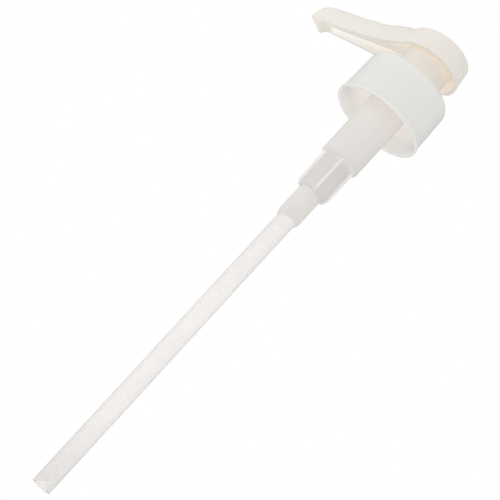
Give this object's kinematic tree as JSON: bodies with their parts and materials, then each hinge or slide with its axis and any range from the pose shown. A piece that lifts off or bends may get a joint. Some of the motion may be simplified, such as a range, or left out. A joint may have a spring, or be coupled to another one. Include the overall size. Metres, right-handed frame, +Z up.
{
  "type": "condiment pump dispenser",
  "caption": "Hand-pressed piston pump for a screw-neck jug: saddle head with long spout, screw closure, finned pump body and long straight dip tube.",
  "frame": {"origin": "on the pump axis, in the plane where the jug's rim meets the gasket", "axes": "+Z up the pump axis from the dip tube to the head, +X along the spout"},
  "size_m": [0.0867, 0.0436, 0.262],
  "materials": {
    "head_plastic": "satin ivory moulding",
    "closure_plastic": "natural translucent white",
    "body_plastic": "natural translucent",
    "tube_plastic": "natural translucent, extruded",
    "stem_plastic": "white moulding",
    "seal_plastic": "soft polyethylene",
    "gasket_foam": "closed-cell foam liner",
    "spring_steel": "drawn stainless wire",
    "ball_steel": "polished stainless"
  },
  "bodies": {
    "pump_body": {"housing": "body_plastic", "dip_tube": "tube_plastic", "gasket": "gasket_foam", "lock_collar": "head_plastic", "stem_wiper": "seal_plastic", "ball_cage": "stem_plastic", "return_spring": "spring_steel"},
    "cap": {"closure": "closure_plastic"},
    "piston_seal": {"piston": "seal_plastic"},
    "plunger": {"pump_head": "head_plastic", "stem": "stem_plastic", "valve_seat": "stem_plastic"},
    "outlet_check": {"outlet_ball": "ball_steel"},
    "inlet_check": {"inlet_ball": "ball_steel"}
  },
  "joints": [
    {"name": "plunger_stroke", "type": "slide", "parent": "pump_body", "child": "piston_seal", "axis": [0, 0, 1], "range_m": [0, 0.024], "stiffness_N_per_m": 180, "springref_m": 0.04, "deforming": ["return_spring"]},
    {"name": "head_swivel", "type": "hinge", "parent": "piston_seal", "child": "plunger", "pos_m": [0, 0, 0], "axis": [0, 0, 1], "continuous": true},
    {"name": "closure_turn", "type": "hinge", "parent": "pump_body", "child": "cap", "pos_m": [0, 0, 0], "axis": [0, 0, 1], "continuous": true},
    {"name": "inlet_ball_lift", "type": "slide", "parent": "pump_body", "child": "inlet_check", "axis": [0, 0, 1], "range_m": [0, 0.002]},
    {"name": "outlet_ball_lift", "type": "slide", "parent": "plunger", "child": "outlet_check", "axis": [0, 0, 1], "range_m": [0, 0.0014]}
  ]
}
